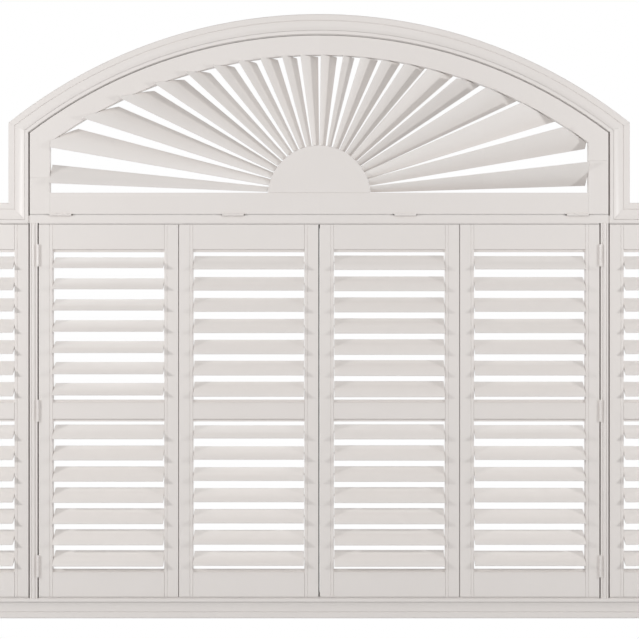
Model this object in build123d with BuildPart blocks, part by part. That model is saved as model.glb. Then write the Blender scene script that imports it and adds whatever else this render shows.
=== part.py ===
"""Interior plantation shutter for a wide arched window.

A moulded frame holds a tall centre bay with four louvred panels in two folding pairs, a sunburst panel under the
arch above them, and a lower bay with one louvred panel at each side. Millimetres, +Z up, the room is at -Y and
the window at +Y. The origin lies on the back of the sill casing, halfway up it and in the middle of its length,
so the wall plane is y = 0.
"""
import os
from math import atan2, cos, degrees, radians, sin, sqrt

from build123d import *

os.makedirs("parts", exist_ok=True)

# Clearances
GAP = 5.0            # round every panel that swings
FOLD_GAP = 3.0       # between the two panels of a folding pair
RABBET = 8.0         # tongue of the lapped joint that closes the fold gap
RABBET_PLAY = 1.0
LOUVRE_END_GAP = 2.0
BLADE_END_GAP = 1.6  # at the ends of a blade before it is tilted
BLADE_PLAY = 1.0     # between a tilted blade and the rails and hub
PIN_FIT = 0.08       # radial play of a louvre pin
KNUCKLE_FIT = 0.3    # between the knuckles of a hinge, along its pin

# Louvred panels
PANEL_W = 508.0
PANEL_T = 27.0
STILE_W = 51.0
BEAD_W = 11.0        # bead along the inner edge of a stile
BEAD_QUIRK = 1.6     # depth of the groove beside the bead
BEAD_ROUND = 3.0
RAIL_H = 100.0       # top and bottom rails, tongue included
MID_RAIL_H = 79.0    # both tongues included
TONGUE_H = 9.5       # light stop along a rail's edge
TONGUE_T = 10.0
PANEL_FRONT = -20.0  # y of the panels' front face

# Louvres
LOUVRE_W = 89.0
LOUVRE_T = 11.0
LOUVRE_EDGE = 2.4    # thickness at the edge
LOUVRE_PITCH = 77.0
LOUVRES_PER_BANK = 7
PIN_R = 3.0
PIN_DEPTH = 12.0     # length of pin inside a stile
PIN_END_PLAY = 1.0
PEG = 5.0            # square peg at each end of a louvre that does not turn
# Downward slope of each panel's upper and lower louvres towards the room, in degrees
TILTS = {1: (32, 29), 2: (27, 31), 3: (34, 27), 4: (37, 32), 5: (34, 28), 6: (33, 28)}
WORKING_PANEL = 3
# Sides of the folding pairs' meeting edges: one stile has a tongue, its neighbour a rebate
FOLD_TONGUES = {2: 1, 5: -1}
FOLD_REBATES = {3: -1, 4: 1}

# Moulded casing, from its inner edge outwards
CASING_W = 75.0
CASING_FRONT = -25.0
FILLET_W = 12.0      # proud flat beside the panels
QUIRK_W = 2.0
COVE_END = 50.0
BAND_START = 53.0
COVE_FRONT = -21.0
COVE_SAG = 3.0       # how far the middle of the cove lies behind a straight line
BAND_FRONT = -12.0
BAND_ROUND = 3.0
JAMB_T = 19.0        # leg of the frame that goes into the wall opening
JAMB_BACK = 40.0
STOP_LAP = 12.0      # how far a stop laps behind a panel
STOP_T = 12.0
OVERRUN = 150.0      # length past a mitre before the cut
ARCH_OVERRUN = 3.0   # the same for the arch, in degrees

# Posts and transom
POST_W = 28.0
POST_BEAD_W = 13.0
POST_BEAD_PROUD = 3.5
POST_QUIRK = 1.5
TRANSOM_H = 28.0

# Arch
ARC_R = 1747.0       # inner edge of the arch casing
ARC_Z = 347.0        # height of the arc's centre
ARCH_STILE_W = 73.0
ARCH_RAIL_W = 71.0
ARCH_BOTTOM_RAIL_H = 78.0
LEFT_STILE_H = 133.0
RIGHT_STILE_H = 195.0

# Sunburst
HUB_R = 188.0
HUB_DROP = 15.0      # hub's centre below the top of the bottom rail
HUB_PROUD = 2.0
BLADE_HUB_W = 27.0
BLADE_HUB_T = 6.0
BLADE_TIP_T = 10.0
BLADE_TIP_MAX = 116.0
BLADE_OVERLAP = 9.0
BLADE_EDGE = 2.0
BLADE_PEG = 3.5
# Tilt of each blade, in degrees, from the one at the right round to the one at the left
BLADE_TILTS = (47, 39, 28, 38, 52, 34, 43, 46, 44, 61, 44, 38, 51, 45, 49, 48, 49, 41, 41, 39, 36, 50)
BLADES = len(BLADE_TILTS)
JOINT_EASE = 0.6     # chamfer that shows a joint between flush pieces

# Hinges
KNUCKLE_R = 4.75
KNUCKLE_L = 80.0
HINGE_PIN_R = 2.2
LEAF_T = 1.5
LEAF_DEPTH = 23.0
LEAF_LAP = 1.0       # how far a leaf and its knuckle's web run into each other
KNUCKLE_STAND_OFF = 0.25   # knuckle in front of the panel's face
KNUCKLE_CLEARANCE = 1.0    # round the knuckles let into a casing
HINGE_SPREAD = 566.0       # upper and lower hinge from the middle one
ARCH_HINGE_SPACING = 628.0

# Magnet catches
CATCH_W = 20.0
CATCH_INSET = 22.0   # catch centre from the panel's edge
CATCH_H = 13.0
CATCH_T = 8.0
CATCH_TOP_GAP = 1.0

# Places that follow from the sizes above
PANEL_Y = PANEL_FRONT + PANEL_T / 2
PANEL_BACK = PANEL_FRONT + PANEL_T
STOP_FRONT = PANEL_BACK + GAP
STOP_REACH = GAP + STOP_LAP
HINGE_Y = PANEL_FRONT - KNUCKLE_R - KNUCKLE_STAND_OFF
BANK_H = LOUVRES_PER_BANK * LOUVRE_PITCH
PANEL_H = 2 * RAIL_H + MID_RAIL_H + 2 * BANK_H
OPENING_W = PANEL_W - 2 * STILE_W
POST_IN = GAP / 2 + 2 * PANEL_W + FOLD_GAP + GAP
POST_X = POST_IN + POST_W / 2
HALF_ARCH = POST_IN + POST_W + GAP
JAMB_X = HALF_ARCH + PANEL_W + GAP
SILL_Z = CASING_W / 2
PANEL_Z = SILL_Z + GAP
HEAD_Z = PANEL_Z + PANEL_H + GAP
ARCH_Z = HEAD_Z + TRANSOM_H + GAP
ARCH_RAIL_TOP = ARCH_Z + ARCH_BOTTOM_RAIL_H
ARCH_HALF_W = HALF_ARCH - GAP
ARCH_R = ARC_R - GAP
OPEN_HALF_W = ARCH_HALF_W - ARCH_STILE_W
OPEN_R = ARCH_R - ARCH_RAIL_W
HINGE_HEIGHTS = [PANEL_Z + PANEL_H / 2 + step * HINGE_SPREAD for step in (-1, 0, 1)]
ARCH_HINGES = [(step - 1.5) * ARCH_HINGE_SPACING for step in range(4)]
PANEL_X = {
    1: -(HALF_ARCH + PANEL_W / 2),
    2: -(GAP / 2 + 1.5 * PANEL_W + FOLD_GAP),
    3: -(GAP / 2 + PANEL_W / 2),
    4: GAP / 2 + PANEL_W / 2,
    5: GAP / 2 + 1.5 * PANEL_W + FOLD_GAP,
    6: HALF_ARCH + PANEL_W / 2,
}
BANK_Z = {"upper": PANEL_Z + RAIL_H + BANK_H + MID_RAIL_H, "lower": PANEL_Z + RAIL_H}


def front_plane(y):
    """Plane seen from the room, at depth y: its x is +X, its y is +Z, and it faces the room."""
    return Plane.XZ.offset(-y)


def save(piece, name):
    """Label a finished piece and write it."""
    piece.part.label = name
    export_step(piece.part, f"parts/{name}.step")


def casing_section():
    """Section of the frame: x runs outwards from its inner edge, y is depth."""
    with BuildSketch() as section:
        with BuildLine():
            Polyline(
                (0, STOP_FRONT),
                (0, CASING_FRONT),
                (FILLET_W, CASING_FRONT),
                (FILLET_W + QUIRK_W, COVE_FRONT + QUIRK_W),
                (FILLET_W + QUIRK_W, COVE_FRONT),
            )
            ThreePointArc(
                (FILLET_W + QUIRK_W, COVE_FRONT),
                ((FILLET_W + QUIRK_W + COVE_END) / 2, (COVE_FRONT + BAND_FRONT) / 2 + COVE_SAG),
                (COVE_END, BAND_FRONT),
            )
            Polyline(
                (COVE_END, BAND_FRONT),
                ((COVE_END + BAND_START) / 2, BAND_FRONT + QUIRK_W),
                (BAND_START, BAND_FRONT),
                (CASING_W - BAND_ROUND, BAND_FRONT),
                (CASING_W, BAND_FRONT + BAND_ROUND),
                (CASING_W, 0),
                (JAMB_T, 0),
                (JAMB_T, JAMB_BACK),
                (0, JAMB_BACK),
                (0, STOP_FRONT + STOP_T),
                (-STOP_REACH, STOP_FRONT + STOP_T),
                (-STOP_REACH, STOP_FRONT),
                (0, STOP_FRONT),
            )
        make_face()
    return section.sketch


def arched_face(half_width, bottom, radius):
    """Flat shape with straight sides and an arched top, as seen from the room."""
    spring = ARC_Z + sqrt(radius**2 - half_width**2)
    with BuildSketch() as face:
        with BuildLine():
            Polyline(
                (half_width, spring),
                (half_width, bottom),
                (-half_width, bottom),
                (-half_width, spring),
            )
            ThreePointArc((-half_width, spring), (0, ARC_Z + radius), (half_width, spring))
        make_face()
    return face.sketch


def lens_section(width, thickness, edge):
    """Louvre section: two long arcs between thin edges."""
    with BuildSketch() as section:
        with BuildLine():
            ThreePointArc((-width / 2, edge / 2), (0, thickness / 2), (width / 2, edge / 2))
            Line((width / 2, edge / 2), (width / 2, -edge / 2))
            ThreePointArc((width / 2, -edge / 2), (0, -thickness / 2), (-width / 2, -edge / 2))
            Line((-width / 2, -edge / 2), (-width / 2, edge / 2))
        make_face()
    return section.sketch


def mitre(corner, towards):
    """Plane of a mitre cut through corner, (x, z), whose kept side is the one it faces."""
    return Plane(origin=(corner[0], 0, corner[1]), z_dir=(towards[0], 0, towards[1]))


# The mitre between the arch casing and its legs runs from the inner to the outer corner
SPRING_IN = (HALF_ARCH, ARC_Z + sqrt(ARC_R**2 - HALF_ARCH**2))
SPRING_OUT = (
    HALF_ARCH + CASING_W,
    ARC_Z + sqrt((ARC_R + CASING_W) ** 2 - (HALF_ARCH + CASING_W) ** 2),
)
SPRING_RISE = SPRING_OUT[1] - SPRING_IN[1]

# Arch casing: the moulded section turned about the arc's centre and mitred at both ends
START = degrees(atan2(SPRING_OUT[1] - ARC_Z, SPRING_OUT[0])) - ARCH_OVERRUN
with BuildPart() as arch_casing:
    start_plane = Plane(
        origin=(0, 0, ARC_Z),
        x_dir=(cos(radians(START)), 0, sin(radians(START))),
        z_dir=(-sin(radians(START)), 0, cos(radians(START))),
    )
    with BuildSketch(start_plane):
        with Locations((ARC_R, 0)):
            add(casing_section())
    revolve(axis=Axis((0, 0, ARC_Z), (0, -1, 0)), revolution_arc=180 - 2 * START)
    split(bisect_by=mitre(SPRING_IN, (-SPRING_RISE, CASING_W)), keep=Keep.TOP)
    split(bisect_by=mitre((-SPRING_IN[0], SPRING_IN[1]), (SPRING_RISE, CASING_W)), keep=Keep.TOP)
save(arch_casing, "arch_casing")

# Legs of the arch casing, between the arch and the heads of the side bays
with BuildPart() as arch_casing_legs:
    with BuildSketch(Plane.XY.offset(HEAD_Z - OVERRUN)):
        with Locations((HALF_ARCH, 0)):
            add(casing_section())
    extrude(amount=SPRING_OUT[1] - HEAD_Z + 2 * OVERRUN)
    split(bisect_by=mitre(SPRING_IN, (SPRING_RISE, -CASING_W)), keep=Keep.TOP)
    split(bisect_by=mitre((HALF_ARCH, HEAD_Z), (-1, 1)), keep=Keep.TOP)
    # the stop starts above the wing of the transom
    with BuildSketch(front_plane(JAMB_BACK)):
        with Locations((HALF_ARCH, HEAD_Z + TRANSOM_H + STOP_REACH)):
            Rectangle(2 * STOP_REACH, 2 * STOP_REACH + 4 * TRANSOM_H, align=(Align.MAX, Align.MAX))
    extrude(amount=JAMB_BACK - CASING_FRONT, mode=Mode.SUBTRACT)
    mirror(about=Plane.YZ)
save(arch_casing_legs, "arch_casing_legs")

# Heads of the side bays
with BuildPart() as side_head_casings:
    with BuildSketch(Plane(origin=(JAMB_X + OVERRUN, 0, HEAD_Z), x_dir=(0, 0, 1), z_dir=(-1, 0, 0))):
        add(casing_section())
    extrude(amount=JAMB_X - HALF_ARCH + 2 * OVERRUN)
    split(bisect_by=mitre((HALF_ARCH, HEAD_Z), (1, -1)), keep=Keep.TOP)
    split(bisect_by=mitre((JAMB_X, HEAD_Z), (-1, 1)), keep=Keep.TOP)
    # the stop starts beside the wing of the post, and holds a catch
    with BuildSketch(front_plane(JAMB_BACK)):
        with Locations((POST_X + POST_W / 2 + STOP_REACH, HEAD_Z)):
            Rectangle(4 * STOP_REACH, 2 * STOP_REACH, align=(Align.MAX, Align.MAX))
    extrude(amount=JAMB_BACK - CASING_FRONT, mode=Mode.SUBTRACT)
    with Locations((HALF_ARCH + CATCH_INSET, STOP_FRONT, HEAD_Z - CATCH_TOP_GAP)):
        Box(CATCH_W, CATCH_T, CATCH_H, align=(Align.CENTER, Align.MIN, Align.MAX), mode=Mode.SUBTRACT)
    mirror(about=Plane.YZ)
save(side_head_casings, "side_head_casings")

# Outer jambs of the side bays, let in for the hinge knuckles
with BuildPart() as outer_jamb_casings:
    with BuildSketch(Plane.XY.offset(SILL_Z - OVERRUN)):
        with Locations((JAMB_X, 0)):
            add(casing_section())
    extrude(amount=HEAD_Z - SILL_Z + 2 * OVERRUN)
    split(bisect_by=mitre((JAMB_X, HEAD_Z), (1, -1)), keep=Keep.TOP)
    split(bisect_by=mitre((JAMB_X, SILL_Z), (1, 1)), keep=Keep.TOP)
    with Locations(*[(JAMB_X, PANEL_FRONT + KNUCKLE_STAND_OFF, height) for height in HINGE_HEIGHTS]):
        Box(
            KNUCKLE_R,
            PANEL_FRONT - CASING_FRONT + KNUCKLE_CLEARANCE,
            KNUCKLE_L + 2 * KNUCKLE_CLEARANCE,
            align=(Align.CENTER, Align.MAX, Align.CENTER),
            mode=Mode.SUBTRACT,
        )
    mirror(about=Plane.YZ)
save(outer_jamb_casings, "outer_jamb_casings")

# Sill casing, from corner to corner
with BuildPart() as sill_casing:
    with BuildSketch(Plane(origin=(-JAMB_X - OVERRUN, 0, SILL_Z), x_dir=(0, 0, -1), z_dir=(1, 0, 0))):
        add(casing_section())
    extrude(amount=2 * (JAMB_X + OVERRUN))
    split(bisect_by=mitre((JAMB_X, SILL_Z), (-1, -1)), keep=Keep.TOP)
    split(bisect_by=mitre((-JAMB_X, SILL_Z), (1, -1)), keep=Keep.TOP)
    # the stop is cut away for the wings of the posts
    with Locations((-POST_X, STOP_FRONT, SILL_Z), (POST_X, STOP_FRONT, SILL_Z)):
        Box(
            POST_W + 2 * STOP_REACH,
            STOP_T,
            STOP_REACH,
            align=(Align.CENTER, Align.MIN, Align.MIN),
            mode=Mode.SUBTRACT,
        )
save(sill_casing, "sill_casing")

# Posts between the bays: a T section with a raised bead on its front
with BuildPart() as mullion_posts:
    with BuildSketch(Plane(origin=(POST_X, 0, SILL_Z))):
        with BuildLine():
            Polyline(
                (-POST_BEAD_W / 2, PANEL_FRONT + POST_QUIRK),
                (-POST_BEAD_W / 2 - POST_QUIRK, PANEL_FRONT),
                (-POST_W / 2, PANEL_FRONT),
                (-POST_W / 2, STOP_FRONT),
                (-POST_W / 2 - STOP_REACH, STOP_FRONT),
                (-POST_W / 2 - STOP_REACH, STOP_FRONT + STOP_T),
                (-POST_W / 2, STOP_FRONT + STOP_T),
                (-POST_W / 2, JAMB_BACK),
                (POST_W / 2, JAMB_BACK),
                (POST_W / 2, STOP_FRONT + STOP_T),
                (POST_W / 2 + STOP_REACH, STOP_FRONT + STOP_T),
                (POST_W / 2 + STOP_REACH, STOP_FRONT),
                (POST_W / 2, STOP_FRONT),
                (POST_W / 2, PANEL_FRONT),
                (POST_BEAD_W / 2 + POST_QUIRK, PANEL_FRONT),
                (POST_BEAD_W / 2, PANEL_FRONT + POST_QUIRK),
            )
            ThreePointArc(
                (POST_BEAD_W / 2, PANEL_FRONT + POST_QUIRK),
                (0, PANEL_FRONT - POST_BEAD_PROUD),
                (-POST_BEAD_W / 2, PANEL_FRONT + POST_QUIRK),
            )
        make_face()
    extrude(amount=HEAD_Z - SILL_Z)
    mirror(about=Plane.YZ)
save(mullion_posts, "mullion_posts")

# Transom between the arch and the centre bay, with a stop above and below it
CENTRE_CATCHES = [
    x + side * (PANEL_W / 2 - CATCH_INSET)
    for x, sides in ((PANEL_X[2], (1,)), (PANEL_X[3], (-1, 1)), (PANEL_X[4], (-1, 1)), (PANEL_X[5], (-1,)))
    for side in sides
]
with BuildPart() as transom:
    with Locations((0, PANEL_FRONT, HEAD_Z)):
        Box(2 * HALF_ARCH, JAMB_BACK - PANEL_FRONT, TRANSOM_H, align=(Align.CENTER, Align.MIN, Align.MIN))
    with Locations((0, STOP_FRONT, HEAD_Z + TRANSOM_H)):
        Box(2 * HALF_ARCH, STOP_T, STOP_REACH, align=(Align.CENTER, Align.MIN, Align.MIN))
    with Locations((0, STOP_FRONT, HEAD_Z)):
        Box(2 * (POST_IN - STOP_REACH), STOP_T, STOP_REACH, align=(Align.CENTER, Align.MIN, Align.MAX))
    with Locations(*[(x, STOP_FRONT, HEAD_Z - CATCH_TOP_GAP) for x in CENTRE_CATCHES]):
        Box(CATCH_W, CATCH_T, CATCH_H, align=(Align.CENTER, Align.MIN, Align.MAX), mode=Mode.SUBTRACT)
save(transom, "transom")

# Magnet catches, let in flush with the stops over the panels' free edges
with BuildPart() as magnet_catches:
    places = CENTRE_CATCHES + [-HALF_ARCH - CATCH_INSET, HALF_ARCH + CATCH_INSET]
    with Locations(*[(x, STOP_FRONT, HEAD_Z - CATCH_TOP_GAP) for x in places]):
        Box(CATCH_W, CATCH_T, CATCH_H, align=(Align.CENTER, Align.MIN, Align.MAX))
save(magnet_catches, "magnet_catches")


def stile_section(inner):
    """Section of a stile about its centre, beaded on both faces along the edge at +x (inner = 1) or -x (-1)."""
    half_w = STILE_W / 2
    half_t = PANEL_T / 2
    groove = half_w - BEAD_W
    with BuildSketch() as section:
        Rectangle(STILE_W, PANEL_T)
        for face in (-1, 1):
            with BuildLine():
                Polyline(
                    (inner * (groove - BEAD_QUIRK), face * half_t),
                    (inner * groove, face * (half_t - BEAD_QUIRK)),
                    (inner * (groove + BEAD_QUIRK), face * half_t),
                    close=True,
                )
            make_face(mode=Mode.SUBTRACT)
        edge_corners = section.vertices().filter_by(lambda corner: abs(corner.X - inner * half_w) < BEAD_QUIRK)
        fillet(edge_corners, radius=BEAD_ROUND)
    return section.sketch


def stiles(panel):
    """Both stiles of a panel. The working panel's are bored for the louvre pins."""
    with BuildPart() as pair:
        for side in (-1, 1):
            centre = PANEL_X[panel] + side * (PANEL_W - STILE_W) / 2
            with BuildSketch(Plane.XY.offset(PANEL_Z)):
                with Locations((centre, PANEL_Y)):
                    add(stile_section(-side))
            extrude(amount=PANEL_H)
        if panel in FOLD_TONGUES:
            side = FOLD_TONGUES[panel]
            with Locations((PANEL_X[panel] + side * PANEL_W / 2, PANEL_BACK, PANEL_Z)):
                Box(
                    2 * RABBET,
                    (PANEL_T - RABBET_PLAY) / 2,
                    PANEL_H,
                    align=(Align.CENTER, Align.MAX, Align.MIN),
                )
        if panel in FOLD_REBATES:
            side = FOLD_REBATES[panel]
            with Locations((PANEL_X[panel] + side * PANEL_W / 2, PANEL_BACK, PANEL_Z)):
                Box(
                    2 * RABBET,
                    (PANEL_T + RABBET_PLAY) / 2,
                    PANEL_H,
                    align=(Align.CENTER, Align.MAX, Align.MIN),
                    mode=Mode.SUBTRACT,
                )
        if panel == WORKING_PANEL:
            for bank in BANK_Z:
                with Locations(*[(PANEL_X[panel], PANEL_Y, height) for height in pivot_heights(bank)]):
                    Cylinder(
                        PIN_R + PIN_FIT,
                        OPENING_W + 2 * (PIN_DEPTH + PIN_END_PLAY),
                        rotation=(0, 90, 0),
                        mode=Mode.SUBTRACT,
                    )
    return pair


def pivot_heights(bank):
    """Heights of the louvre pins of the upper or lower bank, from the bottom."""
    return [BANK_Z[bank] + (step + 0.5) * LOUVRE_PITCH for step in range(LOUVRES_PER_BANK)]


def rails(panel):
    """Top, middle and bottom rails of a panel, with a tongue wherever a louvre meets one."""
    bars = [
        (PANEL_Z, RAIL_H, False, True),
        (PANEL_Z + RAIL_H + BANK_H, MID_RAIL_H, True, True),
        (PANEL_Z + PANEL_H - RAIL_H, RAIL_H, True, False),
    ]
    with BuildPart() as three:
        for bottom, height, tongue_below, tongue_above in bars:
            with Locations((PANEL_X[panel], PANEL_Y, bottom)):
                Box(OPENING_W, TONGUE_T, height, align=(Align.CENTER, Align.CENTER, Align.MIN))
            low = bottom + TONGUE_H * tongue_below
            high = bottom + height - TONGUE_H * tongue_above
            with Locations((PANEL_X[panel], PANEL_Y, low)):
                Box(OPENING_W, PANEL_T, high - low, align=(Align.CENTER, Align.CENTER, Align.MIN))
    return three


def louvre_slat(tilt):
    """One louvre about its own axis, without pins, its room edge turned down by the tilt."""
    end = (OPENING_W - 2 * LOUVRE_END_GAP) / 2
    across = Plane(origin=(-end, 0, 0), x_dir=(0, -cos(radians(tilt)), -sin(radians(tilt))), z_dir=(1, 0, 0))
    with BuildPart() as slat:
        with BuildSketch(across):
            add(lens_section(LOUVRE_W, LOUVRE_T, LOUVRE_EDGE))
        extrude(amount=2 * end)
    return slat


def fixed_louvre(tilt):
    """A louvre that does not turn, with pegs that reach the stiles."""
    with BuildPart() as slat:
        add(louvre_slat(tilt).part)
        Box(OPENING_W, PEG, PEG)
    return slat.part


def working_louvre(panel, height, tilt):
    """A louvre that turns on round pins in the stiles."""
    with BuildPart() as slat:
        with Locations((PANEL_X[panel], PANEL_Y, height)):
            add(louvre_slat(tilt).part)
            Cylinder(PIN_R, OPENING_W + 2 * PIN_DEPTH, rotation=(0, 90, 0))
    return slat


def louvre_banks(panel):
    """All the louvres of a panel that is not the working one."""
    with BuildPart() as banks:
        for bank, tilt in zip(("upper", "lower"), TILTS[panel]):
            with Locations(*[(PANEL_X[panel], PANEL_Y, height) for height in pivot_heights(bank)]):
                add(fixed_louvre(tilt))
    return banks


for number in PANEL_X:
    save(stiles(number), f"panel_{number}_stiles")
    save(rails(number), f"panel_{number}_rails")
    if number != WORKING_PANEL:
        save(louvre_banks(number), f"panel_{number}_louvres")
for bank, tilt in zip(("upper", "lower"), TILTS[WORKING_PANEL]):
    for count, height in enumerate(pivot_heights(bank), start=1):
        save(working_louvre(WORKING_PANEL, height, tilt), f"panel_{WORKING_PANEL}_{bank}_louvre_{count}")

# Arch panel: a curved rail that carries both upper corners, a short stile under each end, and a bottom rail
arch_stile_tops = {-1: ARCH_Z + LEFT_STILE_H, 1: ARCH_Z + RIGHT_STILE_H}
with BuildPart() as arch_rail:
    with BuildSketch(front_plane(PANEL_BACK)):
        add(arched_face(ARCH_HALF_W, ARCH_Z, ARCH_R))
        add(arched_face(OPEN_HALF_W, ARCH_Z, OPEN_R), mode=Mode.SUBTRACT)
        for side, top in arch_stile_tops.items():
            with Locations((side * ARCH_HALF_W, top)):
                Rectangle(
                    2 * ARCH_STILE_W + GAP,
                    2 * (top - ARCH_Z),
                    align=(Align.CENTER, Align.MAX),
                    mode=Mode.SUBTRACT,
                )
    extrude(amount=PANEL_T)
save(arch_rail, "arch_rail")

with BuildPart() as arch_stiles:
    for side, top in arch_stile_tops.items():
        with Locations((side * (ARCH_HALF_W - ARCH_STILE_W / 2), PANEL_Y, ARCH_Z)):
            block = Box(ARCH_STILE_W, PANEL_T, top - ARCH_Z, align=(Align.CENTER, Align.CENTER, Align.MIN))
        chamfer(block.edges().filter_by(Axis.X).group_by(Axis.Z)[-1], length=JOINT_EASE)
save(arch_stiles, "arch_stiles")

with BuildPart() as arch_bottom_rail:
    with Locations((0, PANEL_Y, ARCH_Z)):
        Box(2 * OPEN_HALF_W, PANEL_T, ARCH_BOTTOM_RAIL_H, align=(Align.CENTER, Align.CENTER, Align.MIN))
    chamfer(arch_bottom_rail.edges().filter_by(Axis.Z), length=JOINT_EASE)
save(arch_bottom_rail, "arch_bottom_rail")

# Hub of the sunburst: a segment of a disc that stands on the bottom rail
with BuildPart() as sunburst_hub:
    with BuildSketch(front_plane(PANEL_BACK + HUB_PROUD)):
        with Locations((0, ARCH_RAIL_TOP - HUB_DROP)):
            Circle(HUB_R)
        with Locations((0, ARCH_RAIL_TOP)):
            Rectangle(2 * HUB_R, 2 * HUB_R, align=(Align.CENTER, Align.MAX), mode=Mode.SUBTRACT)
    extrude(amount=PANEL_T + 2 * HUB_PROUD)
    chamfer(sunburst_hub.edges().filter_by(GeomType.CIRCLE), length=HUB_PROUD)
save(sunburst_hub, "sunburst_hub")


def sunburst_region(clearance):
    """The space for the blades, short of the rails and the hub by the clearance."""
    with BuildPart() as region:
        with BuildSketch(front_plane(PANEL_Y + BLADE_TIP_MAX)):
            add(arched_face(OPEN_HALF_W - clearance, ARCH_RAIL_TOP, OPEN_R - clearance))
            with Locations((0, ARCH_RAIL_TOP - HUB_DROP)):
                Circle(HUB_R + clearance, mode=Mode.SUBTRACT)
        extrude(amount=2 * BLADE_TIP_MAX)
    return region.part


def blade_bounds():
    """The rails and the hub with a little play round them, as deep as the hub."""
    reach = HUB_PROUD + BLADE_PLAY
    with BuildPart() as bounds:
        with BuildSketch(front_plane(PANEL_BACK + reach)):
            add(arched_face(ARCH_HALF_W, ARCH_Z, ARCH_R))
            add(arched_face(OPEN_HALF_W - BLADE_PLAY, ARCH_RAIL_TOP, OPEN_R - BLADE_PLAY), mode=Mode.SUBTRACT)
            with Locations((0, ARCH_RAIL_TOP - HUB_DROP)):
                Circle(HUB_R + BLADE_PLAY)
        extrude(amount=PANEL_T + 2 * reach)
    return bounds.part


def ray_length(bearing):
    """Distance from the fan's centre to the edge of the opening, along a bearing in degrees."""
    to_stile = OPEN_HALF_W / abs(cos(radians(bearing)))
    drop = ARCH_RAIL_TOP - ARC_Z
    slope = drop * sin(radians(bearing))
    to_arc = -slope + sqrt(slope**2 - drop**2 + OPEN_R**2)
    return min(to_stile, to_arc)


def blade(bearing, tilt, space, bounds, peg_space):
    """One sunburst blade: a tapered louvre with a peg at each end.

    It is cut to the opening when flat, then tilted, and eased where an end would run into a rail or the hub.
    """
    reach = ray_length(bearing)
    pitch_w = 2 * reach * sin(radians(90 / BLADES))
    tip_w = min(pitch_w + BLADE_OVERLAP, BLADE_TIP_MAX)
    outward = Vector(cos(radians(bearing)), 0, sin(radians(bearing)))
    across = Vector(-sin(radians(bearing)), 0, cos(radians(bearing)))
    centre = Vector(0, PANEL_Y, ARCH_RAIL_TOP)
    start = HUB_R - 2 * HUB_DROP
    end = reach + tip_w
    end_w = BLADE_HUB_W + (tip_w - BLADE_HUB_W) * (end - start) / (reach - start)
    with BuildPart() as flat:
        with BuildSketch(Plane(origin=centre + outward * start, x_dir=across, z_dir=outward)):
            add(lens_section(BLADE_HUB_W, BLADE_HUB_T, BLADE_EDGE))
        with BuildSketch(Plane(origin=centre + outward * end, x_dir=across, z_dir=outward)):
            add(lens_section(end_w, BLADE_TIP_T, BLADE_EDGE))
        loft(ruled=True)
        add(space, mode=Mode.INTERSECT)
    with BuildPart() as peg:
        with BuildSketch(Plane(origin=centre, x_dir=across, z_dir=outward)):
            Rectangle(BLADE_PEG, BLADE_PEG)
        extrude(amount=reach + HUB_R)
        add(peg_space, mode=Mode.INTERSECT)
    with BuildPart() as tilted:
        add(flat.part.rotate(Axis(centre, outward), tilt))
        add(bounds, mode=Mode.SUBTRACT)
        add(peg.part)
    return tilted.part


with BuildPart() as sunburst_blades:
    blade_space = sunburst_region(BLADE_END_GAP)
    peg_space = sunburst_region(0)
    bounds = blade_bounds()
    for count, tilt in enumerate(BLADE_TILTS):
        add(blade((count + 0.5) * 180 / BLADES, tilt, blade_space, bounds, peg_space))
save(sunburst_blades, "sunburst_blades")


def hinge(moving):
    """One half of a butt hinge, about the middle of its pin, which runs along z.

    The window is at +y and the moving panel at +x. The fixed half has the two end knuckles and the pin, the
    moving half has the middle knuckle. Each leaf lies in the gap beside the knuckle.
    """
    third = KNUCKLE_L / 3
    leaf_x = (GAP / 2 - LEAF_T / 2) * (1 if moving else -1)
    leaf_y = PANEL_FRONT - HINGE_Y
    middles = [0] if moving else [-third, third]
    with BuildPart() as half:
        with Locations((leaf_x, leaf_y, 0)):
            Box(LEAF_T, LEAF_DEPTH, KNUCKLE_L, align=(Align.CENTER, Align.MIN, Align.CENTER))
        with Locations(*[(leaf_x, leaf_y + LEAF_LAP, middle) for middle in middles]):
            Box(LEAF_T, KNUCKLE_R, third - KNUCKLE_FIT, align=(Align.CENTER, Align.MAX, Align.CENTER))
        with Locations(*[(0, 0, middle) for middle in middles]):
            Cylinder(KNUCKLE_R, third - KNUCKLE_FIT)
        if moving:
            Cylinder(HINGE_PIN_R + PIN_FIT, KNUCKLE_L, mode=Mode.SUBTRACT)
        else:
            Cylinder(HINGE_PIN_R, KNUCKLE_L - KNUCKLE_FIT)
    return half.part


def upright_hinge_places(x, side):
    """Hinge axes of a panel edge at x, the middle of the gap; side is 1 where the panel lies at +x."""
    return [
        Plane(origin=(x, HINGE_Y, height), x_dir=(side, 0, 0), z_dir=(0, 0, side)) for height in HINGE_HEIGHTS
    ]


ARCH_HINGE_PLACES = [
    Plane(origin=(x, HINGE_Y, ARCH_Z - GAP / 2), x_dir=(0, 0, 1), z_dir=(-1, 0, 0)) for x in ARCH_HINGES
]
HINGE_PLACES = {
    "left_side_panel": upright_hinge_places(-(JAMB_X - GAP / 2), 1),
    "left_leaf": upright_hinge_places(-(POST_IN - GAP / 2), 1),
    "right_leaf": upright_hinge_places(POST_IN - GAP / 2, -1),
    "right_side_panel": upright_hinge_places(JAMB_X - GAP / 2, -1),
    "arch_panel": ARCH_HINGE_PLACES,
}
fixed_half = hinge(moving=False)
moving_half = hinge(moving=True)

with BuildPart() as frame_hinge_leaves:
    with Locations(*[place for places in HINGE_PLACES.values() for place in places]):
        add(fixed_half)
save(frame_hinge_leaves, "frame_hinge_leaves")

for panel_name, places in HINGE_PLACES.items():
    with BuildPart() as moving_leaves:
        with Locations(*places):
            add(moving_half)
    save(moving_leaves, f"{panel_name}_hinges")
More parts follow.
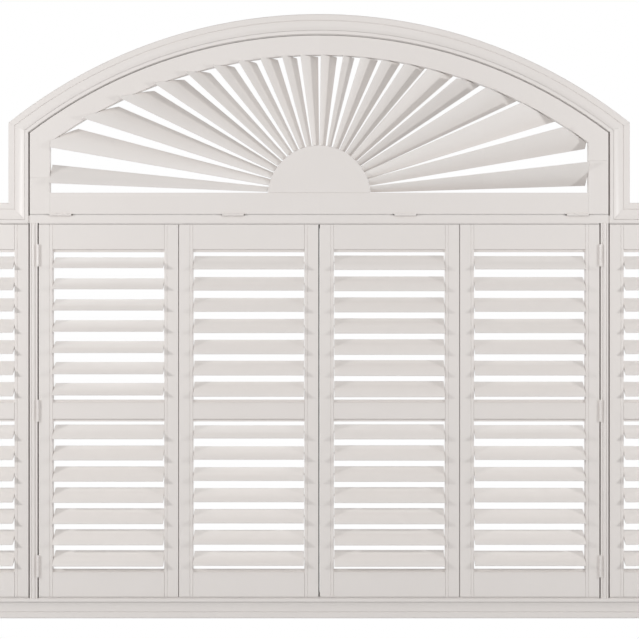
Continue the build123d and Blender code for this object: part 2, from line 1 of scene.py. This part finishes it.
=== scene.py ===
"""Finish of an arched plantation shutter: satin off-white paint, enamelled hinges and magnet catches of dull steel.

Metres. The room is at -Y and the window at +Y. Every board, louvre, blade and hinge comes from the frame. This
script paints them and adds the small fittings: strike plates, hinge screws, the brush seal of the centre gap, whose
near-black pile is painted shade for the gap's depth, and pale pile strips in the level gaps and round the arch.
"""

import math

import bmesh
import bpy
from mathutils import Matrix, Vector


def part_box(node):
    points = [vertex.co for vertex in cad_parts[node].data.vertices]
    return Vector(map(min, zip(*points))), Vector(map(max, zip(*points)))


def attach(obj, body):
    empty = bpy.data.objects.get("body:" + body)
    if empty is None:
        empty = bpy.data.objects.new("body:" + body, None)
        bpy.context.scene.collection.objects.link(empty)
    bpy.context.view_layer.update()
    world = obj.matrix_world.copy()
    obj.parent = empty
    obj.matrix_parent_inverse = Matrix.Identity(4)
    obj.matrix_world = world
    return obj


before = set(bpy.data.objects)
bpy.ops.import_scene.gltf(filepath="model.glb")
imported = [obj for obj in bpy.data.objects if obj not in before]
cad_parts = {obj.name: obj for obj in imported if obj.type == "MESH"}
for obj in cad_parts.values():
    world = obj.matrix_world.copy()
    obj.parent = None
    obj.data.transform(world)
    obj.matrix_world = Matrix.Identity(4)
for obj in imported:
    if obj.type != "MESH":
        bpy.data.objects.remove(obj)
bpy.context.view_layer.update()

# The photograph's framing
VIEW_WIDTH = 2.3287           # width of the view at the panels' face
VIEW_CENTRE = (0.0014, 1.0535)
CAMERA_DISTANCE = 5.5

# The studio
FLOOR_Z = -0.9
FLOOR_RADIUS = 3.6
FLOOR_SIDES = 96
FLOOR_FADE = (0.55, 0.98)     # shares of the radius between which the floor fades out
AMBIENT = 0.36
SOFTBOXES = (                 # name, place, aim, width, height and watts
    ("left_softbox", (-3.6, -2.3, 1.55), (-0.6, 0.0, 1.5), 0.25, 0.3, 54),
    ("right_softbox", (3.6, -2.3, 1.55), (0.6, 0.0, 1.5), 0.25, 0.3, 43),
    ("top_softbox", (0.0, -2.8, 4.2), (0.0, 0.0, 1.5), 3.0, 1.6, 17),
    ("front_softbox", (0.0, -5.0, 2.6), (0.0, 0.0, 1.7), 0.8, 0.5, 43),
    ("backdrop_softbox", (0.0, 3.0, 3.4), (0.0, 0.0, 0.8), 5.0, 2.8, 45),
)
LAMP_WITHOUT_GLOSS = "front_softbox"

# The shutter's own sizes that the fittings go by
GAP = 0.005                   # round every panel that swings
STILE_WIDTH = 0.051
ARCH_RADIUS = 1.742           # of the arch panel's curved edge
HINGE_LENGTH = 0.080
HINGES = {                    # how many a body has, and the way from the frame to the panel
    "arch_panel": (4, (0, 0, 1)),
    "left_side_panel": (3, (1, 0, 0)),
    "left_leaf": (3, (1, 0, 0)),
    "right_leaf": (3, (-1, 0, 0)),
    "right_side_panel": (3, (-1, 0, 0)),
}
PANEL_BODIES = {
    1: "left_side_panel",
    2: "left_leaf",
    3: "left_leaf",
    4: "right_leaf",
    5: "right_leaf",
    6: "right_side_panel",
}

# Strike plates
CATCH_SIDES = {               # edges with a catch over them, left -1 and right 1: those not hung on a post or a jamb
    1: (1,),
    2: (1,),
    3: (-1, 1),
    4: (-1, 1),
    5: (-1,),
    6: (-1,),
}
CATCH_INSET = 0.022           # centre of a catch from its panel's edge
PLATE_WIDTH = 0.020
PLATE_HEIGHT = 0.013
PLATE_THICKNESS = 0.001
PLATE_DROP = 0.0005           # top of a plate below its panel's top
PLATE_CORNER = 0.002
PLATE_CORNER_CUTS = 3

# Screws
SCREW_RADIUS = 0.0022
SCREW_SIDES = 16
SCREW_PROFILE = (             # share of the radius, and height
    (0.6, -0.0006),
    (1.0, 0.0),
    (0.92, 0.0002),
    (0.5, 0.0003),
    (0.42, 0.0003),
    (0.2, -0.0003),
)
SCREW_PLACES = (              # along a hinge's leaf from its middle, and forward of its back edge
    (-0.028, 0.006),
    (0.0, 0.014),
    (0.028, 0.006),
)
LEAF_FACE = 0.001             # face of a hinge's leaf from the middle of its gap

# Brush seal, whose near-black pile is painted shade for the depth of the centre gap
SEAL_WIDTH = 0.0038
SEAL_DEPTH = 0.006
SEAL_INSET = 0.002            # back of the seal from the panel's back
SEAL_ROWS = 40
SEAL_RAGGED = 0.06            # share by which every other row of bristles falls short
SEAL_NOSE = ((0, 0), (0.6, 0.02), (0.85, 0.2), (1, 0.5), (0.85, 0.8), (0.6, 0.98), (0, 1))

# Pile strips
SILL_STRIP_HEIGHT = 0.004
HEAD_STRIP_HEIGHT = 0.0044
FOOT_STRIP_HEIGHT = 0.0046    # under the arch panel
ARC_STRIP_HEIGHT = 0.003      # lower, as the arch panel's back edge rises a little when it swings
STRIP_DEPTH = 0.007
STRIP_RECESS = 0.003          # front of a strip behind the panels' face
FOOT_STRIP_RECESS = 0.0012    # nearer the front, as the arch panel shades these strips
STRIP_STEP = 0.02
STRIP_RAGGED = 0.05
STRIP_NOSE = ((0, 0), (0, 0.7), (0.15, 0.93), (0.5, 1), (0.85, 0.93), (1, 0.7), (1, 0))
HINGE_CLEARANCE = 0.55        # end of a strip from a hinge's middle, as a share of the hinge's length
ARC_STEPS = 50                # each way from the crown


# Node helpers
def add_node(tree, kind, **values):
    """A node of that kind, with its settings."""
    node = tree.nodes.new(kind)
    for name, value in values.items():
        setattr(node, name, value)
    return node


def feed(tree, socket, value):
    """Gives an input its value, which is a socket to link or a plain value."""
    if isinstance(value, bpy.types.NodeSocket):
        tree.links.new(value, socket)
    else:
        socket.default_value = value


def start_group(name, inputs, outputs):
    """A shader group with named sockets, its input node and its output node."""
    group = bpy.data.node_groups.new(name, "ShaderNodeTree")
    for label, kind, value in inputs:
        socket = group.interface.new_socket(name=label, in_out="INPUT", socket_type=kind)
        socket.default_value = value
    for label, kind in outputs:
        group.interface.new_socket(name=label, in_out="OUTPUT", socket_type=kind)
    return group, add_node(group, "NodeGroupInput"), add_node(group, "NodeGroupOutput")


def use_group(tree, group, **values):
    """Places a shared group in a material, with that material's own values."""
    node = add_node(tree, "ShaderNodeGroup", node_tree=group)
    for label, value in values.items():
        node.inputs[label.replace("_", " ")].default_value = value
    return node


def maths(tree, operation, *values, clamp=False):
    """A maths node. Each of its values is a socket or a number."""
    node = add_node(tree, "ShaderNodeMath", operation=operation, use_clamp=clamp)
    for socket, value in zip(node.inputs, values):
        feed(tree, socket, value)
    return node.outputs["Value"]


def vector_maths(tree, operation, *vectors):
    """A vector maths node, with both its outputs."""
    node = add_node(tree, "ShaderNodeVectorMath", operation=operation)
    for socket, vector in zip(node.inputs, vectors):
        tree.links.new(vector, socket)
    return node.outputs


def noise(tree, place, scale, detail=2.0, roughness=0.5):
    """Noise through the solid, read at a place socket."""
    node = add_node(tree, "ShaderNodeTexNoise", noise_dimensions="3D")
    node.inputs["Scale"].default_value = scale
    node.inputs["Detail"].default_value = detail
    node.inputs["Roughness"].default_value = roughness
    tree.links.new(place, node.inputs["Vector"])
    return node.outputs["Fac"]


def own_place(tree):
    """The place of a point on its object."""
    return add_node(tree, "ShaderNodeTexCoord").outputs["Object"]


def blend_colour(tree, factor, first, second):
    """Mixes two colours by a factor socket. Each colour is a socket or a value."""
    node = add_node(tree, "ShaderNodeMix", data_type="RGBA", clamp_factor=True)
    tree.links.new(factor, node.inputs["Factor"])
    feed(tree, node.inputs[6], first)
    feed(tree, node.inputs[7], second)
    return node.outputs[2]


# Shared finishes
PEEL_SHARE = 0.35             # height of the orange peel beside that of the grain
GLOSS_SPREAD = 0.14
EDGE_GAIN = 5.0
DUST_SLOPE = 0.3              # how far a surface faces up before dust settles on it


def make_sprayed_film():
    """Lacquer sprayed over wood: the wood's grain telegraphs faintly through it, under a fine orange peel."""
    group, given, made = start_group(
        "sprayed_film",
        [
            ("Grain Stretch", "NodeSocketVector", (300.0, 300.0, 8.0)),
            ("Grain Strength", "NodeSocketFloat", 0.5),
            ("Roughness", "NodeSocketFloat", 0.4),
        ],
        [
            ("Height", "NodeSocketFloat"),
            ("Roughness", "NodeSocketFloat"),
            ("Cloud", "NodeSocketFloat"),
        ],
    )
    place = own_place(group)
    stretched = vector_maths(group, "MULTIPLY", place, given.outputs["Grain Stretch"])["Vector"]
    grain = noise(group, stretched, scale=1.0, detail=4.0, roughness=0.6)
    peel = noise(group, place, scale=420.0, detail=1.5)
    cloud = noise(group, place, scale=5.0)
    grain_height = maths(group, "MULTIPLY", grain, given.outputs["Grain Strength"])
    peel_height = maths(group, "MULTIPLY", peel, PEEL_SHARE)
    group.links.new(maths(group, "ADD", grain_height, peel_height), made.inputs["Height"])
    gloss_change = maths(group, "MULTIPLY_ADD", cloud, GLOSS_SPREAD, -GLOSS_SPREAD / 2)
    group.links.new(maths(group, "ADD", given.outputs["Roughness"], gloss_change), made.inputs["Roughness"])
    group.links.new(cloud, made.inputs["Cloud"])
    return group


def make_edge_wear_and_highlight():
    """Edges: a mask along every arris, which is also never quite sharp. On the paint it lightens the edges as a painted
    highlight; on the enamel it marks chips, and on steel the bright metal of handled edges.
    """
    group, given, made = start_group(
        "edge_wear_and_highlight",
        [("Edge Radius", "NodeSocketFloat", 0.001), ("Wear", "NodeSocketFloat", 0.4)],
        [("Mask", "NodeSocketFloat"), ("Normal", "NodeSocketVector")],
    )
    rounded = add_node(group, "ShaderNodeBevel", samples=4)
    group.links.new(given.outputs["Edge Radius"], rounded.inputs["Radius"])
    surface = add_node(group, "ShaderNodeNewGeometry")
    agreement = vector_maths(group, "DOT_PRODUCT", rounded.outputs["Normal"], surface.outputs["True Normal"])["Value"]
    turned = maths(group, "SUBTRACT", 1.0, agreement, clamp=True)
    edge = maths(group, "MULTIPLY", turned, EDGE_GAIN, clamp=True)
    patches = noise(group, own_place(group), scale=40.0, detail=3.0)
    patchy_edge = maths(group, "MULTIPLY", edge, patches)
    group.links.new(maths(group, "MULTIPLY", patchy_edge, given.outputs["Wear"]), made.inputs["Mask"])
    group.links.new(rounded.outputs["Normal"], made.inputs["Normal"])
    return group


def make_settled_dust():
    """Dust on the surfaces that face up, in soft patches."""
    group, given, made = start_group(
        "settled_dust",
        [("Amount", "NodeSocketFloat", 0.1)],
        [("Mask", "NodeSocketFloat")],
    )
    place = add_node(group, "ShaderNodeTexCoord")
    parts = add_node(group, "ShaderNodeSeparateXYZ")
    group.links.new(place.outputs["Normal"], parts.inputs["Vector"])
    upward = add_node(group, "ShaderNodeMapRange", clamp=True)
    upward.inputs["From Min"].default_value = DUST_SLOPE
    group.links.new(parts.outputs["Z"], upward.inputs["Value"])
    patches = noise(group, place.outputs["Object"], scale=22.0, detail=5.0)
    settled = maths(group, "MULTIPLY", upward.outputs["Result"], patches)
    group.links.new(maths(group, "MULTIPLY", settled, given.outputs["Amount"]), made.inputs["Mask"])
    return group


def make_board_tone():
    """Each board takes the paint a little differently: one tone for each step of length across the boards."""
    group, given, made = start_group(
        "board_tone",
        [("Board Spacing", "NodeSocketVector", (0.05, 1.0, 0.077))],
        [("Tone", "NodeSocketFloat")],
    )
    counted = vector_maths(group, "DIVIDE", own_place(group), given.outputs["Board Spacing"])["Vector"]
    chance = add_node(group, "ShaderNodeTexWhiteNoise", noise_dimensions="3D")
    group.links.new(vector_maths(group, "FLOOR", counted)["Vector"], chance.inputs["Vector"])
    group.links.new(chance.outputs["Value"], made.inputs["Tone"])
    return group


SPRAYED_FILM = make_sprayed_film()
EDGE_WEAR_AND_HIGHLIGHT = make_edge_wear_and_highlight()
SETTLED_DUST = make_settled_dust()
BOARD_TONE = make_board_tone()

# Materials
PAINT_SHADES = ((0.800, 0.760, 0.734, 1.0), (0.772, 0.730, 0.702, 1.0))
# Paler than the boards' paint: a little of it the louvres' own paler coat, the rest painted light that makes up for the
# shade falling on louvres and blades between their neighbours
LIGHTENED_LOUVRE_SHADES = ((0.855, 0.818, 0.792, 1.0), (0.826, 0.787, 0.759, 1.0))
# Painted highlight: the lighter colour that the paint's edges are blended to
EDGE_HIGHLIGHT_PAINT = (0.84, 0.81, 0.79, 1.0)
DUST = (0.62, 0.59, 0.56, 1.0)
CHIPPED_ENAMEL = (0.50, 0.49, 0.47, 1.0)
FLOOR_SHADES = ((0.86, 0.86, 0.86, 1.0), (0.88, 0.88, 0.88, 1.0))
CLOUD_SHARE = 0.6             # of the paint's change of shade, and the rest goes by the board
BOARD_SHARE = 0.4
PILE_ROUGHNESS = 0.8
PILE_SPREAD = 0.1


def start_material(name):
    """A node material, its tree and its shader."""
    material = bpy.data.materials.new(name)
    material.use_nodes = True
    tree = material.node_tree
    return material, tree, tree.nodes["Principled BSDF"]


def add_bump(tree, shader, height, strength, distance):
    """Relief on a shader from a height socket. Gives the bump node."""
    bump = add_node(tree, "ShaderNodeBump")
    bump.inputs["Strength"].default_value = strength
    bump.inputs["Distance"].default_value = distance
    tree.links.new(height, bump.inputs["Height"])
    tree.links.new(bump.outputs["Normal"], shader.inputs["Normal"])
    return bump


def coat(tree, shader, colour, film, wear_and_highlight, strength, distance):
    """Feeds a shader its colour, the film's roughness, and the film's relief over softened edges."""
    tree.links.new(colour, shader.inputs["Base Color"])
    tree.links.new(film.outputs["Roughness"], shader.inputs["Roughness"])
    bump = add_bump(tree, shader, film.outputs["Height"], strength, distance)
    tree.links.new(wear_and_highlight.outputs["Normal"], bump.inputs["Normal"])


def satin_paint(name, grain, boards, roughness, grain_strength=0.5, dust=0.12, shades=PAINT_SHADES):
    """Satin off-white lacquer on wood, with the grain along the board and a painted highlight along its edges."""
    material, tree, shader = start_material(name)
    film = use_group(tree, SPRAYED_FILM, Grain_Stretch=grain, Grain_Strength=grain_strength, Roughness=roughness)
    wear_and_highlight = use_group(tree, EDGE_WEAR_AND_HIGHLIGHT, Edge_Radius=0.0012, Wear=0.5)
    settled = use_group(tree, SETTLED_DUST, Amount=dust)
    board = use_group(tree, BOARD_TONE, Board_Spacing=boards)
    uneven = maths(tree, "MULTIPLY", film.outputs["Cloud"], CLOUD_SHARE)
    tone = maths(tree, "MULTIPLY_ADD", board.outputs["Tone"], BOARD_SHARE, uneven)
    paint = blend_colour(tree, tone, *shades)
    # Painted highlight: the edges lightened along every arris
    edge_highlighted = blend_colour(tree, wear_and_highlight.outputs["Mask"], paint, EDGE_HIGHLIGHT_PAINT)
    dusty = blend_colour(tree, settled.outputs["Mask"], edge_highlighted, DUST)
    coat(tree, shader, dusty, film, wear_and_highlight, strength=0.25, distance=0.0002)
    return material


def hinge_enamel():
    """Off-white enamel baked on steel, a little glossier than the paint."""
    material, tree, shader = start_material("hinge_enamel")
    film = use_group(tree, SPRAYED_FILM, Grain_Stretch=(250.0, 250.0, 250.0), Grain_Strength=0.1, Roughness=0.3)
    wear_and_highlight = use_group(tree, EDGE_WEAR_AND_HIGHLIGHT, Edge_Radius=0.0004, Wear=0.9)
    fresh = blend_colour(tree, film.outputs["Cloud"], *PAINT_SHADES)
    chipped = blend_colour(tree, wear_and_highlight.outputs["Mask"], fresh, CHIPPED_ENAMEL)
    coat(tree, shader, chipped, film, wear_and_highlight, strength=0.15, distance=0.0001)
    return material


def dull_steel(name, colour, worn_colour, roughness):
    """Bare steel with fine rolling lines, dulled, brighter where handling has polished it."""
    material, tree, shader = start_material(name)
    shader.inputs["Metallic"].default_value = 1.0
    film = use_group(tree, SPRAYED_FILM, Grain_Stretch=(60.0, 900.0, 2500.0), Grain_Strength=0.8, Roughness=roughness)
    wear_and_highlight = use_group(tree, EDGE_WEAR_AND_HIGHLIGHT, Edge_Radius=0.0004, Wear=1.0)
    metal = blend_colour(tree, wear_and_highlight.outputs["Mask"], colour, worn_colour)
    coat(tree, shader, metal, film, wear_and_highlight, strength=0.3, distance=0.0001)
    return material


def brush_pile(name, deep, tip):
    """Short nylon bristles of a seal, from the colour deep in the pile to that of the tips."""
    material, tree, shader = start_material(name)
    shader.inputs["Sheen Weight"].default_value = 0.3
    bristles = noise(tree, own_place(tree), scale=1800.0)
    tree.links.new(blend_colour(tree, bristles, deep, tip), shader.inputs["Base Color"])
    roughness = maths(tree, "MULTIPLY_ADD", bristles, PILE_SPREAD, PILE_ROUGHNESS)
    tree.links.new(roughness, shader.inputs["Roughness"])
    add_bump(tree, shader, bristles, strength=1.0, distance=0.0005)
    return material


UPRIGHT_GRAIN = (260.0, 260.0, 7.0)
LEVEL_GRAIN = (7.0, 260.0, 260.0)
BLADE_GRAIN = (40.0, 260.0, 40.0)
upright_frame_paint = satin_paint("frame_paint_upright", UPRIGHT_GRAIN, boards=(0.3, 1.0, 5.0), roughness=0.40)
level_frame_paint = satin_paint("frame_paint_level", LEVEL_GRAIN, boards=(5.0, 1.0, 0.3), roughness=0.40)
upright_panel_paint = satin_paint("panel_paint_upright", UPRIGHT_GRAIN, boards=(0.2, 1.0, 5.0), roughness=0.38)
level_panel_paint = satin_paint("panel_paint_level", LEVEL_GRAIN, boards=(0.51, 1.0, 0.3), roughness=0.38)
louvre_paint = satin_paint(
    "louvre_paint",
    LEVEL_GRAIN,
    boards=(0.51, 1.0, 0.077),
    roughness=0.34,
    grain_strength=0.35,
    dust=0.2,
    shades=LIGHTENED_LOUVRE_SHADES,
)
blade_paint = satin_paint(
    "blade_paint",
    BLADE_GRAIN,
    boards=(0.15, 1.0, 0.4),
    roughness=0.34,
    grain_strength=0.3,
    shades=LIGHTENED_LOUVRE_SHADES,
)
enamel = hinge_enamel()
catch_steel = dull_steel(
    "catch_steel", colour=(0.13, 0.13, 0.135, 1.0), worn_colour=(0.35, 0.35, 0.36, 1.0), roughness=0.5
)
plate_steel = dull_steel(
    "plate_steel", colour=(0.50, 0.50, 0.51, 1.0), worn_colour=(0.70, 0.70, 0.71, 1.0), roughness=0.35
)
# Near black: painted shade, the colour of the centre gap's shade given to the seal's pile
gap_shade_pile = brush_pile("gap_shade_pile", deep=(0.05, 0.05, 0.05, 1.0), tip=(0.14, 0.14, 0.135, 1.0))
white_pile = brush_pile("white_pile", deep=(0.70, 0.67, 0.65, 1.0), tip=(0.84, 0.81, 0.79, 1.0))

UPRIGHT_BOARDS = ("arch_casing_legs", "outer_jamb_casings", "mullion_posts")
LEVEL_BOARDS = ("arch_casing", "side_head_casings", "sill_casing", "transom")


def finish_for(node):
    """The finish of a node of the frame."""
    if "hinge" in node:
        return enamel
    if node == "magnet_catches":
        return catch_steel
    if node in UPRIGHT_BOARDS:
        return upright_frame_paint
    if node in LEVEL_BOARDS:
        return level_frame_paint
    if node == "sunburst_blades":
        return blade_paint
    if "louvre" in node:
        return louvre_paint
    if "stiles" in node:
        return upright_panel_paint
    return level_panel_paint


def paint_frame():
    """Gives every node of the frame its finish."""
    for node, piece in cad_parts.items():
        piece.data.materials.clear()
        piece.data.materials.append(finish_for(node))


# Fittings
def mesh_object(name, shape, material):
    """An object from a bmesh, in the frame's own place."""
    mesh = bpy.data.meshes.new(name)
    bmesh.ops.recalc_face_normals(shape, faces=shape.faces)
    shape.to_mesh(mesh)
    shape.free()
    mesh.materials.append(material)
    piece = bpy.data.objects.new(name, mesh)
    bpy.context.collection.objects.link(piece)
    return piece


def skin_rings(shape, rings):
    """Joins rings of as many points each into one closed form."""
    for before, behind in zip(rings, rings[1:]):
        for step in range(len(before)):
            after = (step + 1) % len(before)
            shape.faces.new((before[step], before[after], behind[after], behind[step]))
    shape.faces.new(rings[0])
    shape.faces.new(rings[-1])


def add_screw_head(shape, at, facing):
    """A countersunk head with a shallow round recess, flush but for its slight dome."""
    turn = Vector((0, 0, 1)).rotation_difference(Vector(facing)).to_matrix().to_4x4()
    place = Matrix.Translation(Vector(at)) @ turn
    rings = []
    for share, height in SCREW_PROFILE:
        radius = SCREW_RADIUS * share
        ring = []
        for step in range(SCREW_SIDES):
            angle = 2 * math.pi * step / SCREW_SIDES
            point = Vector((radius * math.cos(angle), radius * math.sin(angle), height))
            ring.append(shape.verts.new(place @ point))
        rings.append(ring)
    skin_rings(shape, rings)


def plate_outline(centre_x, centre_z):
    """Points round a plate with eased corners."""
    reach_x = PLATE_WIDTH / 2 - PLATE_CORNER
    reach_z = PLATE_HEIGHT / 2 - PLATE_CORNER
    outline = []
    for quarter, (x_way, z_way) in enumerate(((1, 1), (-1, 1), (-1, -1), (1, -1))):
        for step in range(PLATE_CORNER_CUTS + 1):
            angle = math.radians(90 * quarter + 90 / PLATE_CORNER_CUTS * step)
            x = centre_x + x_way * reach_x + PLATE_CORNER * math.cos(angle)
            z = centre_z + z_way * reach_z + PLATE_CORNER * math.sin(angle)
            outline.append((x, z))
    return outline


def strike_plate(number, side):
    """Steel plate screwed to a panel's back, where the magnet of the catch meets it."""
    low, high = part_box(f"panel_{number}_rails")
    edge = high.x + STILE_WIDTH if side > 0 else low.x - STILE_WIDTH
    centre_x = edge - side * CATCH_INSET
    centre_z = high.z - PLATE_HEIGHT / 2 - PLATE_DROP
    outline = plate_outline(centre_x, centre_z)
    shape = bmesh.new()
    near = [shape.verts.new((x, high.y, z)) for x, z in outline]
    far = [shape.verts.new((x, high.y + PLATE_THICKNESS, z)) for x, z in outline]
    skin_rings(shape, [near, far])
    add_screw_head(shape, (centre_x, high.y + PLATE_THICKNESS, centre_z), (0, 1, 0))
    name = "left" if side < 0 else "right"
    plate = mesh_object(f"panel_{number}_{name}_strike_plate", shape, plate_steel)
    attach(plate, PANEL_BODIES[number])


def centre_seal():
    """Brush seal on the left leaf's meeting edge, which closes the centre gap to light; its near-black pile is painted
    shade, standing in for the shade deep in the gap.
    """
    low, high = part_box("panel_3_stiles")
    back = high.y - SEAL_INSET
    shape = bmesh.new()
    rings = []
    for row in range(SEAL_ROWS + 1):
        z = low.z + (high.z - low.z) * row / SEAL_ROWS
        width = SEAL_WIDTH * (1 - SEAL_RAGGED * (row % 2))
        rings.append([shape.verts.new((high.x + width * u, back - SEAL_DEPTH * v, z)) for u, v in SEAL_NOSE])
    skin_rings(shape, rings)
    seal = mesh_object("centre_shade_brush_seal", shape, gap_shade_pile)
    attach(seal, "left_leaf")


def hinge_centres(body):
    """Middles of a body's evenly spaced hinges, at the back edge of their leaves."""
    count = HINGES[body][0]
    low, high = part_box(f"{body}_hinges")
    middle = (low + high) / 2
    middle.y = high.y
    level = high.x - low.x > high.z - low.z
    run = Vector((1, 0, 0)) if level else Vector((0, 0, 1))
    spread = ((high - low).dot(run) - HINGE_LENGTH) / (count - 1)
    return [middle + run * spread * (step - (count - 1) / 2) for step in range(count)]


def hinge_screws(body):
    """Three screws in each leaf of a body's hinges."""
    outward = Vector(HINGES[body][1])
    run = Vector((abs(outward.z), 0, abs(outward.x)))
    for holder, side in (("panel", 1), ("frame", -1)):
        shape = bmesh.new()
        for centre in hinge_centres(body):
            for along, forward in SCREW_PLACES:
                at = centre + outward * LEAF_FACE * side + run * along - Vector((0, forward, 0))
                add_screw_head(shape, at, -outward * side)
        screws = mesh_object(f"{body}_hinge_screws_in_{holder}", shape, plate_steel)
        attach(screws, body if side > 0 else "frame")


def pile_strip(name, places, front, height):
    """Pale pile strip along a gap. Its places are pairs of a foot on the frame and the way to the panel, in x and z."""
    back = front + STRIP_DEPTH
    shape = bmesh.new()
    rings = []
    for step, ((x, z), (way_x, way_z)) in enumerate(places):
        rise = height * (1 - STRIP_RAGGED * (step % 2))
        ring = [
            shape.verts.new((x + way_x * rise * u, back - STRIP_DEPTH * v, z + way_z * rise * u))
            for v, u in STRIP_NOSE
        ]
        rings.append(ring)
    skin_rings(shape, rings)
    strip = mesh_object(name, shape, white_pile)
    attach(strip, "frame")


def level_places(start, end, z, way):
    """Places of a level strip from one x to another."""
    steps = max(2, round((end - start) / STRIP_STEP))
    return [((start + (end - start) * step / steps, z), (0, way)) for step in range(steps + 1)]


def arc_places(half_width, crown_z):
    """Places of the strip round the arch, from one springing to the other."""
    centre_z = crown_z - ARCH_RADIUS
    reach = math.asin(half_width / ARCH_RADIUS)
    foot_radius = ARCH_RADIUS + GAP
    places = []
    for step in range(-ARC_STEPS, ARC_STEPS + 1):
        bearing = reach * step / ARC_STEPS
        out_x, out_z = math.sin(bearing), math.cos(bearing)
        places.append(((foot_radius * out_x, centre_z + foot_radius * out_z), (-out_x, -out_z)))
    return places


def pile_strips():
    """The strips under and over the panels of each bay, under the arch panel between its hinges, and round its arc."""
    for bay, first, last in (("left", 1, 1), ("centre", 2, 5), ("right", 6, 6)):
        low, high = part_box(f"panel_{first}_stiles")
        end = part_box(f"panel_{last}_stiles")[1].x
        front = low.y + STRIP_RECESS
        pile_strip(f"{bay}_bay_sill_strip", level_places(low.x, end, low.z - GAP, 1), front, SILL_STRIP_HEIGHT)
        pile_strip(f"{bay}_bay_head_strip", level_places(low.x, end, high.z + GAP, -1), front, HEAD_STRIP_HEIGHT)
    low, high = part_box("arch_stiles")
    ends = [low.x]
    for centre in hinge_centres("arch_panel"):
        ends += [centre.x - HINGE_CLEARANCE * HINGE_LENGTH, centre.x + HINGE_CLEARANCE * HINGE_LENGTH]
    ends.append(high.x)
    for number, (start, end) in enumerate(zip(ends[::2], ends[1::2]), 1):
        places = level_places(start, end, low.z - GAP, 1)
        pile_strip(f"arch_strip_{number}", places, low.y + FOOT_STRIP_RECESS, FOOT_STRIP_HEIGHT)
    places = arc_places(high.x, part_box("arch_rail")[1].z)
    pile_strip("arch_arc_strip", places, low.y + STRIP_RECESS, ARC_STRIP_HEIGHT)


paint_frame()
for panel_number, catch_sides in CATCH_SIDES.items():
    for catch_side in catch_sides:
        strike_plate(panel_number, catch_side)
centre_seal()
pile_strips()
for hinged_body in HINGES:
    hinge_screws(hinged_body)


# Studio
def lay_floor():
    """Plain pale floor below the shutter, which fades out into the white around it."""
    shape = bmesh.new()
    bmesh.ops.create_circle(shape, cap_ends=True, segments=FLOOR_SIDES, radius=FLOOR_RADIUS)
    material, tree, shader = start_material("floor")
    shader.inputs["Roughness"].default_value = 0.9
    place = own_place(tree)
    fade = add_node(tree, "ShaderNodeMapRange", clamp=True, interpolation_type="SMOOTHSTEP")
    fade.inputs["From Min"].default_value = FLOOR_RADIUS * FLOOR_FADE[0]
    fade.inputs["From Max"].default_value = FLOOR_RADIUS * FLOOR_FADE[1]
    fade.inputs["To Min"].default_value = 1.0
    fade.inputs["To Max"].default_value = 0.0
    tree.links.new(vector_maths(tree, "LENGTH", place)["Value"], fade.inputs["Value"])
    tree.links.new(fade.outputs["Result"], shader.inputs["Alpha"])
    pale = blend_colour(tree, noise(tree, place, scale=3.0), *FLOOR_SHADES)
    tree.links.new(pale, shader.inputs["Base Color"])
    floor = mesh_object("floor", shape, material)
    floor.location = (0, 0, FLOOR_Z)


def hang_lamp(name, at, aim, width, height, watts):
    """A softbox that isn't itself seen."""
    light = bpy.data.lights.new(name, "AREA")
    light.shape = "RECTANGLE"
    light.size = width
    light.size_y = height
    light.energy = watts
    lamp = bpy.data.objects.new(name, light)
    bpy.context.collection.objects.link(lamp)
    lamp.location = at
    lamp.rotation_euler = (Vector(aim) - Vector(at)).to_track_quat("-Z", "Y").to_euler()
    lamp.visible_camera = False
    lamp.visible_glossy = name != LAMP_WITHOUT_GLOSS


def light_world(ambient):
    """White to the camera, in gloss and through glass, and a soft even light on everything else."""
    world = bpy.data.worlds.new("studio")
    bpy.context.scene.world = world
    world.use_nodes = True
    tree = world.node_tree
    back = tree.nodes["Background"]
    back.inputs["Color"].default_value = (1.0, 1.0, 1.0, 1.0)
    path = add_node(tree, "ShaderNodeLightPath")
    seen = maths(tree, "MAXIMUM", path.outputs["Is Camera Ray"], path.outputs["Is Glossy Ray"])
    seen = maths(tree, "MAXIMUM", seen, path.outputs["Is Transmission Ray"])
    strength = maths(tree, "MULTIPLY_ADD", seen, 1.0 - ambient, ambient)
    tree.links.new(strength, back.inputs["Strength"])


def set_up_camera():
    """The camera square on to the shutter, framed as the photograph is."""
    data = bpy.data.cameras.new("camera")
    camera = bpy.data.objects.new("camera", data)
    bpy.context.collection.objects.link(camera)
    panel_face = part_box("panel_3_stiles")[0].y
    camera.location = (VIEW_CENTRE[0], -CAMERA_DISTANCE, VIEW_CENTRE[1])
    camera.rotation_euler = (math.radians(90), 0, 0)
    data.angle = 2 * math.atan(VIEW_WIDTH / 2 / (CAMERA_DISTANCE + panel_face))
    bpy.context.scene.camera = camera


lay_floor()
light_world(AMBIENT)
for softbox in SOFTBOXES:
    hang_lamp(*softbox)
set_up_camera()
bpy.context.scene.view_settings.view_transform = "Standard"
